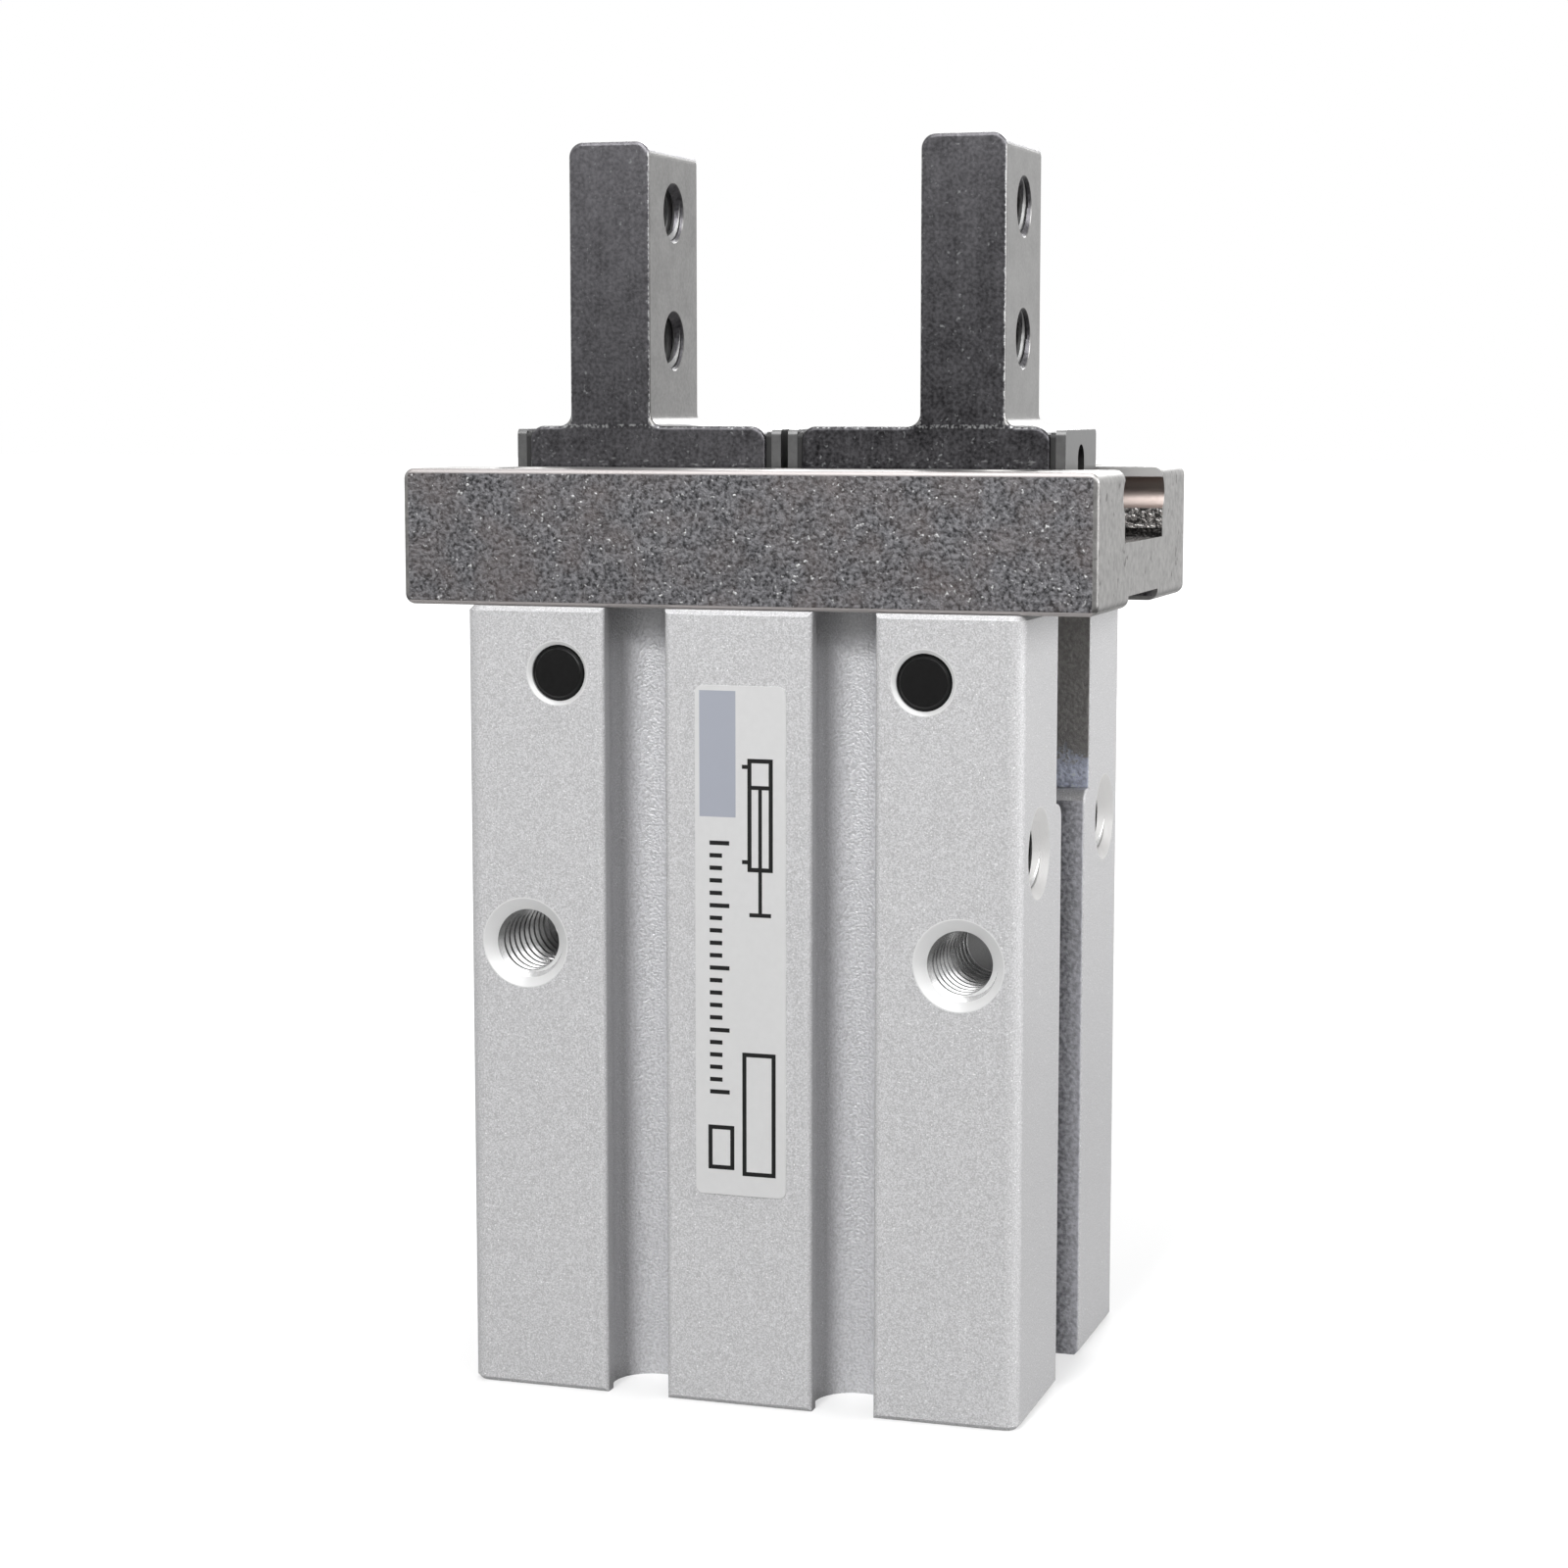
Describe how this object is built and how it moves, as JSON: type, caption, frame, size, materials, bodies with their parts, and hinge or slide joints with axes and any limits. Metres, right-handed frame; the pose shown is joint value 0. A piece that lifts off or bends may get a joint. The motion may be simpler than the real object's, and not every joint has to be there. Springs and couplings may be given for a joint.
{
  "type": "pneumatic parallel gripper",
  "caption": "Pneumatic parallel gripper: slotted aluminium body, steel cross guide and sliding fingers that a piston opens and closes through bell-crank levers.",
  "frame": {"origin": "middle of the body's base, on the face that it stands on", "axes": "+Z from the base to the finger tips, X along the fingers' travel, -Y the labelled front"},
  "size_m": [0.038, 0.0237, 0.0673],
  "materials": {
    "anodised_aluminium": "bead blasted silver anodised",
    "guide_steel": "dark heat treated, speckled",
    "finger_steel": "dark ground steel",
    "plate_steel": "thin rolled sheet",
    "pin_steel": "turned",
    "black_steel": "black oxide",
    "screw_steel": "black oxide",
    "ball_steel": "polished",
    "lever_steel": "sintered",
    "piston_aluminium": "turned",
    "cap_aluminium": "turned",
    "seal_rubber": "moulded",
    "magnet": "bonded magnet",
    "bumper_rubber": "moulded urethane",
    "label_foil": "satin foil"
  },
  "bodies": {
    "housing": {"body": "anodised_aluminium", "guide": "guide_steel", "guide_screws": "screw_steel", "guide_dowels": "pin_steel", "right_lever_shaft": "black_steel", "left_lever_shaft": "black_steel", "rod_seal": "seal_rubber", "seal_retainer": "pin_steel", "cap": "cap_aluminium", "cap_oring": "seal_rubber", "cap_bumper": "bumper_rubber", "snap_ring": "screw_steel", "label": "label_foil"},
    "piston_assembly": {"piston": "piston_aluminium", "piston_seal": "seal_rubber", "piston_magnet": "magnet", "piston_bumper": "bumper_rubber"},
    "right_finger_slide_body": {"right_finger": "finger_steel", "right_outer_plate": "plate_steel", "right_inner_plate": "plate_steel", "right_scrapers": "seal_rubber", "right_plate_pins": "pin_steel"},
    "left_finger_slide_body": {"left_finger": "finger_steel", "left_outer_plate": "plate_steel", "left_inner_plate": "plate_steel", "left_scrapers": "seal_rubber", "left_plate_pins": "pin_steel"},
    "right_lever_body": {"right_lever": "lever_steel"},
    "left_lever_body": {"left_lever": "lever_steel"},
    "right_ball_rows": {"right_balls": "ball_steel"},
    "left_ball_rows": {"left_balls": "ball_steel"}
  },
  "joints": [
    {"name": "piston_slide", "type": "slide", "parent": "housing", "child": "piston_assembly", "axis": [0, 0, 1], "range_m": [0, 0.00239]},
    {"name": "right_finger_slide", "type": "slide", "parent": "housing", "child": "right_finger_slide_body", "axis": [1, 0, 0], "range_m": [0, 0.003]},
    {"name": "left_finger_slide", "type": "slide", "parent": "housing", "child": "left_finger_slide_body", "axis": [-1, 0, 0], "range_m": [0, 0.003]},
    {"name": "right_lever_swing", "type": "hinge", "parent": "housing", "child": "right_lever_body", "pos_m": [0.01005, 0, 0.039], "axis": [0, 1, 0], "range_deg": [0, 19.63]},
    {"name": "left_lever_swing", "type": "hinge", "parent": "housing", "child": "left_lever_body", "pos_m": [-0.01005, 0, 0.039], "axis": [0, -1, 0], "range_deg": [0, 19.63]},
    {"name": "right_ball_travel", "type": "slide", "parent": "housing", "child": "right_ball_rows", "axis": [1, 0, 0], "range_m": [0, 0.0015]},
    {"name": "left_ball_travel", "type": "slide", "parent": "housing", "child": "left_ball_rows", "axis": [-1, 0, 0], "range_m": [0, 0.0015]}
  ],
  "couplings": [
    {"joint": "right_finger_slide", "follows": "piston_slide", "ratio": 1.2552},
    {"joint": "left_finger_slide", "follows": "piston_slide", "ratio": 1.2552},
    {"joint": "right_lever_swing", "follows": "piston_slide", "rad_per_m": 143.33},
    {"joint": "left_lever_swing", "follows": "piston_slide", "rad_per_m": 143.33},
    {"joint": "right_ball_travel", "follows": "piston_slide", "ratio": 0.6276},
    {"joint": "left_ball_travel", "follows": "piston_slide", "ratio": 0.6276}
  ]
}
